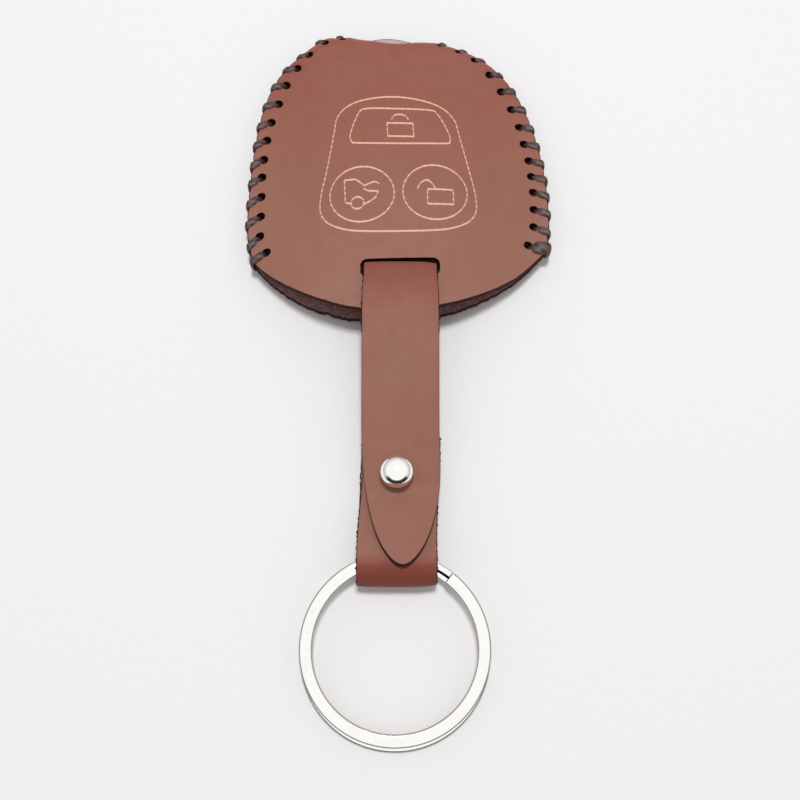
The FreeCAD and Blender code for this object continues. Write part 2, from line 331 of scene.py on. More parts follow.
def raw_leather(name, tone, pale_tone, fibre, rough_height, top_highlight_strength):
    """Cut or split leather: matted fibre with pale loose ends, paler towards the top by a painted highlight,
    and no shine.
    """
    material, tree, shader, place = new_material(name)
    fibres = add(tree, "TexNoise", {"Vector": place, "Scale": per_mm(fibre), "Detail": 6.0, "Roughness": 0.7})
    patches = add(tree, "TexNoise", {"Vector": place, "Scale": per_mm(5 * fibre), "Detail": 2.0})
    loose = add(tree, "MapRange", {"Value": fibres, "From Min": 0.46, "From Max": 0.7})
    spread = add(tree, "Math", {0: loose, 1: patches}, operation="MULTIPLY")
    along = add(tree, "SeparateXYZ", {0: place})
    # Painted highlight: paler towards the cover's top
    top_highlight = add(tree, "MapRange", {"Value": along.outputs["Y"], "From Min": top_highlight_start * MM,
                                 "From Max": top_highlight_end * MM, "To Max": top_highlight_strength})
    pale = add(tree, "Math", {0: spread, 1: top_highlight}, operation="MAXIMUM")
    colour = add(tree, "Mix", {mix_by: pale, mix_a: tone, mix_b: pale_tone}, data_type="RGBA")
    bump = add(tree, "Bump", {"Strength": 0.8, "Distance": rough_height * MM, "Height": fibres})
    connect(tree, shader, {"Base Color": colour, "Normal": bump,
                           "Roughness": 0.85, "Specular IOR Level": 0.1})
    return material


def waxed_thread():
    """Waxed flat polyester thread of three twisted plies, with painted shade in the grooves and a painted
    highlight on the crests.
    """
    material, tree, shader, place = new_material("waxed_twisted_thread")
    ply = add(tree, "Attribute", {}, attribute_name="ply")
    wear = add(tree, "TexNoise", {"Vector": place, "Scale": per_mm(0.8), "Detail": 3.0})
    # Painted highlight and shade: the plies' crests are painted light and their grooves dark
    crest_highlight = add(tree, "MapRange", {"Value": ply.outputs["Fac"], "From Min": -1.0, "From Max": 0.6})
    lit = add(tree, "Math", {0: crest_highlight, 1: wear}, operation="MULTIPLY")
    colour = add(tree, "Mix", {mix_by: lit, mix_a: "#2E1D20", mix_b: "#735451"}, data_type="RGBA")
    fuzz = add(tree, "TexNoise", {"Vector": place, "Scale": per_mm(0.15), "Detail": 2.0})
    bump = add(tree, "Bump", {"Strength": 0.4, "Distance": 0.03 * MM, "Height": fuzz})
    connect(tree, shader, {"Base Color": colour, "Normal": bump, "Roughness": 0.5})
    return material


def engraved_leather():
    """Leather burnt by a laser in level rows: pale dry lines, solid along the rows and dotted across them."""
    material, tree, shader, place = new_material("laser_engraved_leather")
    slant = add(tree, "Attribute", {}, attribute_name="slant")
    # The wave's period is a fifth of pi over its scale. Real rows are nearer 0.1 mm and wouldn't show
    rows = add(tree, "TexWave", {"Vector": place, "Scale": math.pi / 10 * per_mm(1.05), "Distortion": 2.0,
                                 "Detail Scale": 2.0}, bands_direction="Y")
    dotted = add(tree, "Math", {0: rows.outputs["Fac"], 1: slant.outputs["Fac"]}, operation="MULTIPLY")
    faded = add(tree, "MapRange", {"Value": dotted, "From Min": 0.3, "From Max": 0.9, "To Max": 0.8})
    colour = add(tree, "Mix", {mix_by: faded, mix_a: "#E9B8A2", mix_b: "#AC7765"}, data_type="RGBA")
    connect(tree, shader, {"Base Color": colour, "Roughness": 0.8})
    return material


def nickel_plate():
    """Polished nickel plate on steel: a bright, faintly warm mirror, softened in patches by fine wear."""
    material, tree, shader, place = new_material("polished_nickel_plate")
    wear = add(tree, "TexNoise", {"Vector": place, "Scale": per_mm(2.5), "Detail": 5.0, "Roughness": 0.6})
    haze = add(tree, "MapRange", {"Value": wear, "From Min": 0.35, "From Max": 0.75,
                                  "To Min": 0.08, "To Max": 0.13})
    tone = add(tree, "MapRange", {"Value": wear, "From Min": 0.5, "From Max": 0.8})
    colour = add(tree, "Mix", {mix_by: tone, mix_a: "#FBFAF7", mix_b: "#F4F2EE"}, data_type="RGBA")
    connect(tree, shader, {"Base Color": colour, "Roughness": haze, "Metallic": 1.0})
    return material


def dull_wire(name, tone, dark_tone, roughness):
    """Duller, darker metal: on the wire's sides it outlines the bright faces, and on the flanks at the split
    it is painted shade in the gap between the strands.
    """
    material, tree, shader, place = new_material(name)
    wear = add(tree, "TexNoise", {"Vector": place, "Scale": per_mm(1.5), "Detail": 4.0})
    colour = add(tree, "Mix", {mix_by: wear, mix_a: tone, mix_b: dark_tone}, data_type="RGBA")
    connect(tree, shader, {"Base Color": colour, "Roughness": roughness, "Metallic": 1.0})
    return material


# Each leather's third colour is painted shade for a hard fold
panel_grain = grain_leather("dyed_full_grain_leather_panel", "#986A5A", "#904A3B", "#75382E", "#6E4033",
                            red_from=20, red_to=62)
strap_grain = grain_leather("dyed_full_grain_leather_strap", "#976859", "#84301F", "#75382E", "#6A3F33",
                            red_from=90, red_to=120)
cut_edge = raw_leather("cut_leather_edge", "#331B1B", "#6B4440", fibre=0.5, rough_height=0.15, top_highlight_strength=0.0)
flesh_side = raw_leather("split_leather_flesh_side", "#946C6A", "#DDCDC6", fibre=0.6, rough_height=0.15,
                         top_highlight_strength=0.65)
thread_finish = waxed_thread()
line_finish = engraved_leather()
nickel = nickel_plate()
wire_edge = dull_wire("rolled_nickel_wire_edge", "#B3ACA3", "#948D85", roughness=0.32)
# Dark steel for the flanks at the split: painted shade in the gap between the strands
gap_shade_steel = dull_wire("dark_steel_painted_gap_shade", "#2E2927", "#1C1918", roughness=0.5)
panel_finishes = [panel_grain, cut_edge, flesh_side]
strap_finishes = [strap_grain, cut_edge, flesh_side]
grain, cut, flesh = 0, 1, 2


# The cover: outline of its panels, crown of the front, belly of the back
widest_rise = 18.7
mouth_rise = 10.5
corner_tuck = 1.35
shoulder_power = 2.5
shoulder_reach_share = 1.02
shoulder_reach = (cover_length - widest_rise) * shoulder_reach_share
mouth_half = cover_half - corner_tuck
mouth_r = (mouth_half ** 2 + mouth_rise ** 2) / (2 * mouth_rise)
crown_height = front_high[2] - leather_t - front_rim_base
crown_start = 10.0
crown_power = 2.5
rim_flat = 0.75
belly_start = 12.0
belly_run = 8.0

# Leather that rolls down to the seam round the top
roll_height = 2.2
roll_width = 2.8
roll_start = 42.0
roll_run = 11.0

# What hand work did: a lean, a skew, a drawn-in and dipped top, and a mouth that gapes on its left
low_lean = 0.2
top_lean = -0.55
lean_start = 22.0
lean_run = 26.0
mouth_skew_share = 0.04
top_skew_share = -0.06
top_tuck = 0.9
tuck_start = 42.0
top_dip = 1.1
dip_x = -0.5
dip_width = 4.5
wave_start = 48.0
wave_run = 6.0
waist_share = 0.012
waist_rise = 33.0
waist_reach = 12.0
corner_lift = 1.1
corner_out = 0.5
corner_x = 19.5
corner_run = 5.5
corner_reach = 4.5
gape_lift = 1.5
gape_x = -17.0
gape_width = 7.5
gape_reach = 9.0
back_spread = 0.6
back_overhang = 0.2
overhang_ease = 3.0
# Bands of the back's upper face painted dark along its sewn sides, as painted shade beside the front's rim
back_shade_bands = 4
back_hump_share = 0.72
front_ragged = 0.03
back_ragged = 0.12
ragged_taper = 0.3
fibre_seed = 4
fibre_blur = [0.3, 0.6, 0.3]
top_bumps = ((0.9, -13.2, 2.6), (-0.45, -6.4, 2.6), (-0.55, 9.0, 6.0))


def front_dip(x):
    """How far the front's top edge dips, as a bell curve. The back's rises by a share of it."""
    return top_dip * bell((x - dip_x) / dip_width)


def top_wave(x):
    """How the open top's edge wavers along its length: soft bumps, each a bell curve."""
    return sum(height * bell((x - middle) / width) for height, middle, width in top_bumps)


def mouth_line(x):
    """The mouth's arc: its rise at each x."""
    return mouth_r - np.sqrt(mouth_r ** 2 - np.clip(x, -mouth_half, mouth_half) ** 2)


def placed(x, rise, z):
    """A place on the cover as sewn by hand: leaning, skewed, waisted, its right corner and its top drawn."""
    skew = mouth_skew_share + (top_skew_share - mouth_skew_share) * rise / cover_length
    tuck = top_tuck * smoothstep((rise - tuck_start) / (cover_length - tuck_start))
    lean = low_lean + (top_lean - low_lean) * smoothstep((rise - lean_start) / lean_run)
    waist = 1 - waist_share * bell((rise - waist_rise) / waist_reach)
    near_mouth = 1 - smoothstep((rise - mouth_line(x)) / corner_reach)
    corner = smoothstep((x - corner_x) / corner_run) * near_mouth
    top = top_wave(x) * smoothstep((rise - wave_start) / wave_run)
    y = mouth_y + rise + x * skew - tuck + corner_lift * corner + top
    return np.stack([x * waist + lean + corner_out * corner, y, z + 0 * x], axis=-1)


def crown_share(x, rise):
    """1 on the middle of the cover, falling to 0 at the rim: (1 - (x/a)^n - (y/b)^n)^2."""
    along = np.maximum(rise - crown_start, 0) / (cover_length - crown_start)
    s = (np.abs(x) / (cover_half - rim_flat)) ** crown_power + along ** crown_power
    return np.maximum(1 - s, 0) ** 2


def gape_share(x, rise):
    """1 where the mouth gapes most, on its left, fading both ways as a bell curve."""
    inside = rise - mouth_line(x)
    return bell((x - gape_x) / gape_width) * bell(np.maximum(inside, 0) / gape_reach)


def top_roll(x, rise):
    """Lift of the leather inside the top seam: a quarter sine in from the edge, fading out down the sides.

    The distance from the edge is (1 - F) / |grad F| for the outline's superellipse F.
    """
    across = np.abs(x) / cover_half
    along = np.maximum(rise - widest_rise, 0) / shoulder_reach
    level = across ** shoulder_power + along ** shoulder_power
    steep = shoulder_power * np.hypot(across ** (shoulder_power - 1) / cover_half,
                                      along ** (shoulder_power - 1) / shoulder_reach)
    inside = np.minimum((1 - level) / np.maximum(steep, 1e-6), cover_length - front_dip(x) - rise)
    fade = smoothstep((rise - roll_start) / roll_run)
    return roll_height * fade * np.sin(np.clip(inside / roll_width, 0, 1) * math.pi / 2)


def side_line(shoulder_steps=600, fall_steps=120):
    """The right-hand edge, from the top down to the mouth's corner: a superellipse, then a parabola."""
    top = math.asin((1 / shoulder_reach_share) ** (shoulder_power / 2))
    turn = np.linspace(top, 0, shoulder_steps)
    fall = np.linspace(0, 1, fall_steps)[1:]
    x = np.append(cover_half * np.cos(turn) ** (2 / shoulder_power), cover_half - corner_tuck * fall ** 2)
    rise = np.append(widest_rise + shoulder_reach * np.sin(turn) ** (2 / shoulder_power),
                     widest_rise - (widest_rise - mouth_rise) * fall)
    return np.stack([x, rise], axis=1)


edge_length = lengths(side_line())[-1]


def beside_edge(run, outward, step=0.05):
    """Points at runs along the right-hand edge, moved outwards, and the edge's direction there."""
    line = side_line()
    before = at_lengths(line, np.maximum(run - step, 0))
    ahead = unit(at_lengths(line, np.minimum(run + step, edge_length)) - before)
    return at_lengths(line, run) + left_of(ahead) * np.reshape(outward, (-1, 1)), ahead


# Whip stitching: how far each hole lies along the edge and in from it, and how far its thread slants on
left_runs = np.array([2.1, 5.8, 9.7, 13.4, 17.6, 21.8, 25.9, 29.6, 33.4, 36.8, 40.5, 44.2, 48.2, 51.8])
left_insets = np.array([0.95, 1.25, 1.45, 1.8, 1.95, 2.2, 2.0, 1.95, 1.95, 2.0, 2.2, 2.35, 2.15, 2.75])
right_runs = np.array([0.95, 4.9, 8.65, 13.0, 17.2, 21.5, 25.6, 29.3, 32.9, 36.2, 39.5, 43.0, 46.7, 51.0])
right_insets = np.array([1.3, 1.55, 1.65, 1.9, 2.1, 2.15, 2.15, 2.35, 2.3, 2.4, 2.45, 2.6, 2.7, 3.15])
left_slant = 1.5
right_slant = 0.85
slant_run = 12.0
least_slant_share = 0.15
turn_margin = 0.3
hole_d = 1.5
hole_pull_share = 1.15
thread_half_w = 0.68
thread_half_h = 0.34
thread_sink = 0.2
thread_out = 0.16
thread_entry = 0.5
thread_dive = 0.55
stitch_shares = np.array([0, 0.3, 0.7, 1])
under_lift_share = 0.3
left_end_back = 0.2
left_end_lift = 0.2
knot_half_w = 1.15
knot_half_h = 0.62
knot_shares = np.array([0.15, 0.05, 0, 0])
knot_heights = np.array([-1.2, -0.4, 0.3, 0.45, 0.2, -0.9, -2.0])
dent_depth = 0.26
dent_width = 0.75
scallop = 0.22
scallop_width = 1.1
plies = 3
ply_relief_share = 0.07
thread_lay = 3.0


def stitch_plan(runs, insets, slant, side):
    """The holes of one seam and the places where its thread turns round the edge."""
    holes = beside_edge(runs, -insets)[0]
    slants = slant * np.clip(runs / slant_run, least_slant_share, 1)
    turns, ahead = beside_edge(np.minimum(runs + slants, edge_length - turn_margin), thread_out)
    flip = np.array([side, 1])
    return holes * flip, turns * flip, ahead * flip


left_plan = stitch_plan(left_runs, left_insets, left_slant, -1)
right_plan = stitch_plan(right_runs, right_insets, right_slant, 1)
all_holes = np.concatenate([left_plan[0], right_plan[0]])
all_turns = np.concatenate([left_plan[1], right_plan[1]])


def dent(x, rise):
    """How far the stitches press the leather in: a soft groove along each, exp(-(distance/width)^2) deep."""
    run = all_turns - all_holes
    away = np.stack([x, rise], axis=-1)[..., None, :] - all_holes
    t = np.clip((away * run).sum(-1) / (run * run).sum(-1), 0, 1)
    gap = ((away - t[..., None] * run) ** 2).sum(-1)
    return dent_depth * np.exp(-gap / dent_width ** 2).max(-1)


def front_under(x, rise):
    """Height of the front's lower face: rim, crown, top roll and gaping mouth, less the stitches' dents."""
    share = crown_share(x, rise)
    form = front_rim_base + crown_height * share + top_roll(x, rise) * (1 - share)
    return form + gape_lift * gape_share(x, rise) - dent(x, rise)


def front_top(x, rise):
    """Height of the front's upper face."""
    return front_under(x, rise) + leather_t


def back_under(x, rise):
    """Height of the back's lower face: flat on the table in the middle, up to the seam at the rim."""
    lift = smoothstep((rise - belly_start) / belly_run)
    return rim_base * (1 - crown_share(x, rise) * lift) + dent(x, rise)


def inward_of(edge):
    """Unit normals into a closed outline that runs clockwise."""
    ahead = unit(np.roll(edge, -1, axis=0) - np.roll(edge, 1, axis=0))
    return -left_of(ahead)


def panel_outline(ragged, dip_share, overhang, side_count=190, mouth_count=190, top_count=44):
    """A panel's plan, clockwise from the top right: side, mouth with loose fibre, side, top.

    Its sides stand out by the overhang and are pinched in at the stitches. Also says where it is sewn.
    """
    right = evenly(side_line(), side_count)
    turn = np.linspace(1, -1, mouth_count) * math.asin(mouth_half / mouth_r)
    mouth = np.stack([mouth_r * np.sin(turn), mouth_r * (1 - np.cos(turn))], axis=1)
    fibre = np.convolve(np.random.default_rng(fibre_seed).normal(size=mouth_count), fibre_blur, "same")
    mouth[:, 1] -= ragged * fibre * np.sin(np.linspace(0, math.pi, mouth_count)) ** ragged_taper
    left = right[::-1] * mirrored
    top = np.linspace(left[-1], right[0], top_count)
    top[:, 1] -= dip_share * front_dip(top[:, 0])
    edge = np.concatenate([right[:-1], mouth[:-1], left[:-1], top[:-1]])
    gap = np.linalg.norm(edge[:, None] - all_turns, axis=-1).min(1)
    pinch = scallop * bell(gap / scallop_width)
    x, rise = edge.T
    from_mouth, from_top = rise - mouth_line(x), cover_length - rise
    sewn = smoothstep(from_mouth / overhang_ease) * smoothstep(from_top / overhang_ease)
    return edge + inward_of(edge) * (pinch - overhang * sewn)[:, None], sewn


rim_steps = 9
ring_crowding = 1.7
face_rings = 54


def sheet_rings(edge, rounding, centre, outer, inner, burnished=0, rings=face_rings, inner_rings=26):
    """A flat sheet as rings from a pole on its upper face, round its eased rim, to a pole on its lower face.

    Gives the rings' plan, their level in the thickness from 1 down to 0, and the finish of the faces between.
    A burnished rim keeps the upper face's finish on that many of its own bands.
    """
    inward = inward_of(edge)
    rounding = np.broadcast_to(rounding, len(edge))[:, None]
    shoulder = edge + inward * rounding - centre
    upper = 1 - (1 - np.linspace(0, 1, rings)) ** ring_crowding
    lower = 1 - (1 - np.linspace(1, 0, inner_rings)) ** ring_crowding
    turn = np.linspace(math.pi / 2, -math.pi / 2, rim_steps)[1:-1, None, None]
    inset = rounding * (1 - np.sqrt(np.cos(turn)))
    plan = np.concatenate([centre + shoulder * upper[:, None, None], edge + inward * inset,
                           centre + shoulder * lower[:, None, None]])
    side = np.sign(np.sin(turn)) * np.sqrt(np.abs(np.sin(turn)))
    level = np.concatenate([np.ones(rings), (1 + side.ravel()) / 2, np.zeros(inner_rings)])[:, None]
    finish = np.full((len(plan) - 1, 1), cut)
    finish[:rings - 1 + burnished] = outer
    finish[1 - inner_rings:] = inner
    return plan, level, finish


def prism(plan, z_low, z_high):
    """A closed outline in the cover's plan, as an upright cutter."""
    x, rise = plan[:, 0], plan[:, 1]
    return surface(np.stack([placed(x, rise, z_low), placed(x, rise, z_high)]), cut, capped=True)


strap_half = bridge_high[0]
slot_rise = 9.2
slot_x = 0.33
slot_height = 3.2
slot_play = 0.3
slot_corner_r = 1.15
slot_skew_share = 0.002
cutter_low, cutter_high = -1.0, 12.0


def panel_cutters(steps=24):
    """The stitch holes, stretched along the thread's pull, and the strap's slot with rounded corners."""
    turn = round_turn(steps)
    rim = circle(turn)
    pull = unit(all_turns - all_holes)[:, None]
    stretched = (hole_pull_share * rim[:, :1] * pull + rim[:, 1:] * left_of(pull)) * hole_d / 2
    holes = [prism(plan, cutter_low, cutter_high) for plan in all_holes[:, None] + stretched]
    rim = circle(turn + math.pi / steps)
    half = np.array([strap_half + slot_play, slot_height / 2])
    slot = np.sign(rim) * (half - slot_corner_r) + slot_corner_r * rim
    slot[:, 1] += slot_rise - slot_height / 2 + slot[:, 0] * slot_skew_share
    slot[:, 0] += slot_x
    return holes + [prism(slot, cutter_low, cutter_high)]


panel_centre = np.array([0.0, 27.0])
rim_round = 0.18


def panel(name, under, outer, inner, ragged, dip_share, spread=0, overhang=0, shade_bands=0):
    """One panel: its sheet laid on its form, the mouth's edge spread a little, holes and slot cut out.

    On its sewn sides, that many bands of its upper face get the dark cut-edge finish: painted shade where the
    band peeks out beside the front panel's rim.
    """
    edge, sewn = panel_outline(ragged, dip_share, overhang)
    plan, level, finish = sheet_rings(edge, rim_round, panel_centre, outer, inner)
    finish = np.repeat(finish, len(edge), axis=1)
    finish[face_rings - 1 - shade_bands:face_rings - 1, sewn > 0.5] = cut
    x, rise = plan[..., 0], plan[..., 1]
    points = placed(x, rise, under(x, rise) + leather_t * level)
    points[..., 1] -= spread * gape_share(x, rise)
    piece = new_piece(name, [surface(points, finish)], panel_finishes)
    return cut_away(piece, panel_cutters(), panel_finishes)


def thread_tube(control, guide, half_w, half_h, steps=5, sides=14):
    """Flat twisted thread: an ellipse along a spline, ridged by 1 + relief x cos(3 x angle - run's phase)."""
    route = smooth_route(control, steps)
    ahead = unit(np.gradient(route, axis=0))
    beside = smooth_route(guide, steps)
    beside = unit(beside - (beside * ahead).sum(1, keepdims=True) * ahead)
    above = np.cross(ahead, beside)
    turn = round_turn(sides)
    ply = np.cos(plies * (turn - math.pi * lengths(route)[:, None] / thread_lay))
    swell = (1 + ply_relief_share * ply)[..., None]
    wide, high = half_w * np.cos(turn)[:, None], half_h * np.sin(turn)[:, None]
    ellipse = wide * beside[:, None] + high * above[:, None]
    return surface(route[:, None] + swell * ellipse, capped=True), ply


def whip_stitches(name, plan, side, end_runs, end_lifts, knotted):
    """One thread: up each hole, over the front, round the edge, under to the next hole, then its end wraps.

    A knotted thread is finished with a thick knot over its last stitch.
    """
    holes, turns, along = plan
    wraps, wrap_along = beside_edge(np.array(end_runs), thread_out)
    flip = np.array([side, 1])
    turns = np.concatenate([turns, wraps * flip])
    along = np.concatenate([along, wrap_along * flip])
    holes = np.concatenate([holes, np.repeat(holes[-1:], len(end_runs), axis=0)])
    lifts = np.append(np.zeros(len(plan[0])), end_lifts)[:, None]
    ahead = np.append(holes[1:], holes[-1:], axis=0)
    entry = holes + unit(turns - holes) * thread_entry
    shares = stitch_shares[:, None]
    over = entry[:, None] + (turns - entry)[:, None] * shares
    under = turns[:, None] + (ahead - turns)[:, None] * shares
    dive = thread_dive * (stitch_shares == 0)
    over_z = front_top(over[..., 0], over[..., 1]) + thread_half_h - thread_sink + lifts - dive
    under_z = back_under(under[..., 0], under[..., 1]) - thread_half_h + thread_sink
    under_z = under_z - under_lift_share * lifts
    route = np.concatenate([over, under], axis=1)
    z = np.concatenate([over_z, under_z], axis=1)
    control = placed(route[..., 0], route[..., 1], z).reshape(-1, 3)
    first = control[:1] * [1, 1, 0] + [0, 0, rim_base]
    last = control[-1:] * [1, 1, 0] + [0, 0, front_rim_base]
    guide = np.repeat(np.column_stack([along, np.zeros(len(along))]), 2 * len(stitch_shares), axis=0)
    control = np.concatenate([first, first, control, last])
    guide = np.concatenate([guide[:2], guide, guide[-1:]])
    made = [thread_tube(control, guide, thread_half_w, thread_half_h)]
    if knotted:
        knot = over[-1] + (turns[-1] - entry[-1]) * knot_shares[:, None]
        x, rise = np.concatenate([knot[:1], knot, knot[-1:], knot[-1:]]).T
        knot = placed(x, rise, front_top(x, rise) + knot_heights)
        knot_guide = np.repeat(guide[-1:], len(knot), axis=0)
        made.append(thread_tube(knot, knot_guide, knot_half_w, knot_half_h, steps=8, sides=24))
    tubes = [tube for tube, ply in made]
    plies_seen = np.concatenate([np.ravel(ply) for tube, ply in made])
    return new_piece(name, tubes, [thread_finish], sharp_deg=80, attributes=[("ply", plies_seen)])


# The picture of the key's buttons, engraved on the front
line_width = 0.32
level_width = 0.16
line_proud = 0.02
line_step = 0.14
line_wavers = ((0.12, 1.9), (0.1, 0.73))
ribbon_spans = np.array([-1, -0.6, 0.6, 1])
ribbon_heights = np.array([-2, 1, 1, -2])


def flowing(points, closed, steps=10):
    """A smooth line through points: a Catmull-Rom spline."""
    points = np.array(points, float)
    ends = (points[-1:], points[:2]) if closed else (points[:1], points[-1:])
    p = np.concatenate([ends[0], points, ends[1]])
    t = (np.arange(steps) / steps)[:, None]
    a, b, c, d = (p[i:len(p) - 3 + i, None] for i in range(4))
    curve = b + t / 2 * (c - a) + t * t * (a - 2.5 * b + 2 * c - d / 2)
    curve = curve + t ** 3 * (1.5 * (b - c) + (d - a) / 2)
    return np.concatenate([curve.reshape(-1, 2), p[-2:-1]])


def oval(centre, half_sizes, start_deg=0, end_deg=360, steps=48):
    """An ellipse, or part of one."""
    turn = np.radians(np.linspace(start_deg, end_deg, steps))
    return np.array(centre) + np.array(half_sizes) * circle(turn)


def engraved_line(path):
    """A thin domed ribbon on the front, broader along the laser's level rows, and its slant across them."""
    path = np.array(path, float)
    closed = np.allclose(path[0], path[-1])
    path = evenly(path, max(3, int(lengths(path)[-1] / line_step)))
    ahead = unit(np.gradient(path, axis=0))
    if closed:
        ahead[[0, -1]] = unit(ahead[0] + ahead[-1])
    slant = np.abs(ahead[:, 1])
    step = np.arange(len(path))
    wave = 1 + sum(size * np.sin(step * rate) for size, rate in line_wavers)
    width = (line_width + level_width * (1 - slant)) * wave
    spans = width[:, None] / 2 * ribbon_spans
    plan = path[:, None] + left_of(ahead)[:, None] * spans[..., None]
    x, rise = plan[..., 0], plan[..., 1]
    z = front_top(x, rise) + line_proud * ribbon_heights
    return surface(placed(x, rise, z), capped=True), np.repeat(slant, len(ribbon_spans))


def button_picture():
    """An outline with three buttons: a shut padlock, an open padlock and a raised boot lid."""
    half = [(0, 41.0), (5.2, 40.3), (8.6, 38.8), (10.45, 36.5), (11.0, 33.9), (12.35, 26.4), (13.25, 21.8),
            (13.4, 18.9), (12.85, 17.15), (11.4, 15.7), (8.5, 14.55), (4.8, 14.1), (0, 14.0)]
    outline = flowing(half + [(-x, y) for x, y in half[-2:0:-1]], closed=True)
    lock_key = [(-5.2, 38.3), (0.6, 38.4), (6.2, 38.35), (7.35, 37.7), (8.3, 36.0), (9.35, 33.2),
                (9.35, 32.0), (8.5, 31.35), (0.6, 30.95), (-7.1, 31.1), (-8.1, 31.7), (-8.2, 32.9),
                (-7.5, 35.2), (-6.5, 37.5)]
    lock = [[(-1.65, 35.25), (3.05, 35.25)], [(-1.65, 32.45), (3.15, 32.45)],
            [(-1.6, 35.25), (-1.6, 32.45)], [(3.0, 35.25), (3.0, 32.45)]]
    open_lock = [[(5.0, 21.9), (9.4, 22.0)], [(5.05, 19.1), (9.5, 19.2)], [(5.0, 21.9), (5.0, 19.1)],
                 [(9.45, 22.0), (9.45, 19.2)]]
    car = [[(-8.1, 19.3), (-9.0, 19.55), (-9.3, 23.8), (-7.35, 23.9), (-5.8, 22.6)],
           [(-5.95, 22.05), (-5.2, 21.6), (-3.4, 21.45), (-3.9, 20.3), (-4.6, 19.75), (-5.9, 19.0)]]
    lid = flowing([(-5.8, 22.6), (-4.8, 23.05), (-4.0, 23.3), (-3.25, 22.85)], closed=False)
    open_shackle = flowing([(3.3, 21.7), (3.65, 22.8), (4.6, 23.6), (5.5, 23.4), (6.4, 22.1)], closed=False)
    rings = [oval((-6.2, 21.1), (5.53, 5.2)), oval((6.33, 21.45), (5.53, 5.25)),
             oval((-6.95, 19.4), (1.1, 1.1))]
    shackle = oval((0.72, 36.0), (1.45, 1.15), 0, 180, 24)
    lines = [outline, flowing(lock_key, closed=True), lid, open_shackle, shackle] + rings
    made = [engraved_line(line) for line in lines + lock + open_lock + car]
    slants = np.concatenate([slant for ribbon, slant in made])
    ribbons = [ribbon for ribbon, slant in made]
    return new_piece("engraved_button_picture", ribbons, [line_finish], attributes=[("slant", slants)])


# The strap, its tongue and its loop
bend_r = 1.2
bridge_y = bridge_high[1] - half_t
stud_y = (ball_low[1] + ball_high[1]) / 2
collar_r = 2.2
landing_run = 1.4
landing_r = 5.0
return_z = rim_base + half_t
return_tail = 6.3
tongue_gap = 0.25
tongue_bend_r = 6.0
tongue_taper = 18.0
tongue_fullness = 1.12
taper_y = flap_low[1] + tongue_taper
loop_r = loop[1] - leg_low[1] - half_t
edge_round = 0.14
tongue_round = 0.32
seam_ease = 2.0
left_curl = 0.15
right_curl = 0.36
edge_fray = 0.022
longest_tuft = 9.0
fray_seed = 7
flat_count = 25
edge_steps = 7
bend_blur = 9
bend_gain = 3.0
bend_floor = 0.3
seam_y = 3.0
lip_r = 5.0
row_step = 0.3
buttonhole_r = 1.65
slit_half = 0.2
recess_r = 2.8
recess_depth = 0.6
slit_length = 0.5
buttonhole_low = 1.5

# How the strap was laid: its front leg to the right of the stud, its tongue cut a little askew
front_shift = 0.57
tongue_askew = 0.36
askew_start = -11.0
askew_run = 13.0
back_drift_start = 26.0
back_drift_run = 22.0
tail_shift = 0.85
tail_drift_run = 20.0
slot_pinch = 0.045
pinch_start = 6.6
pinch_run = 5.5
top_red = 0.6
top_red_run = 13.0
fold_red_share = 0.5

# The return layer leaves the loop's circle at a tangent and lands flat beside the stud's collar
landing = np.array([stud_y - collar_r - landing_run, return_z])
to_landing = landing - loop[1:]
landing_angle = math.atan2(to_landing[1], to_landing[0])
slope = math.pi / 2 - landing_angle - math.acos(loop_r / np.linalg.norm(to_landing))
loop_top = loop[1:] + loop_r * np.array([math.tan(slope / 2), 1])
tongue_low = landing + (leather_t + tongue_gap) * np.array([math.sin(slope), math.cos(slope)])
tongue_tip = np.array([flap_low[1], tongue_low[1] + (tongue_low[0] - flap_low[1]) * math.tan(slope)])
fall_line = unit(tongue_low - lip[1:])
seam = lip[1:] + fall_line * (seam_y - lip[1]) / fall_line[0]
slot_middle = rim_base + leather_t


def curl(across):
    """How far the strap's long edges curl under."""
    return np.where(across > 0, right_curl, left_curl) * np.abs(across / strap_half) ** 4


def strip(route, shift, face_up, pinch=0):
    """Leather strip: a rounded rectangle carried along a route in the middle plane, and how hard it bends."""
    flat = np.linspace(-1, 1, flat_count) * (strap_half - edge_round)
    turn = np.linspace(math.pi / 2, -math.pi / 2, edge_steps)[1:-1]
    bulge = strap_half - edge_round + edge_round * np.sqrt(np.cos(turn))
    drop = np.sign(np.sin(turn)) * np.sqrt(np.abs(np.sin(turn)))
    across = np.concatenate([flat, bulge, -flat, -bulge[::-1]])
    level = np.concatenate([np.ones(flat_count), drop, -np.ones(flat_count), -drop])
    off = level * half_t - curl(across)
    ahead = unit(np.gradient(route, axis=0))
    yz = route[:, None] + off[:, None] * face_up * left_of(ahead)[:, None]
    tufts = np.random.default_rng(fray_seed).normal(size=(len(route), len(across))) ** 3
    fray = edge_fray * np.clip(tufts, -longest_tuft, longest_tuft)
    fray[:, level == 1] = 0
    narrowed = across * (1 - np.broadcast_to(pinch, len(route))[:, None])
    x = narrowed + np.broadcast_to(shift, len(route))[:, None] + fray
    points = np.concatenate([x[..., None], yz], axis=-1)
    finish = np.repeat([grain, cut, flesh, cut], [flat_count - 1, edge_steps - 1] * 2)
    tight = np.linalg.norm(np.gradient(ahead, axis=0), axis=1) / row_step
    spread = np.convolve(np.pad(tight, bend_blur // 2, "edge"), np.ones(bend_blur) / bend_blur, "valid")
    bend = np.repeat(np.clip(bend_gain * spread - bend_floor, 0, 1), len(across))
    return surface(points, finish, capped=True), bend.reshape(len(route), -1)


# Routes run down the strap. On the front its grain lies to their right, on the back to their left
front_face, back_face = -1, 1


def rows_along(line):
    """A route sampled at the strap's row step."""
    return evenly(line, int(lengths(line)[-1] / row_step))


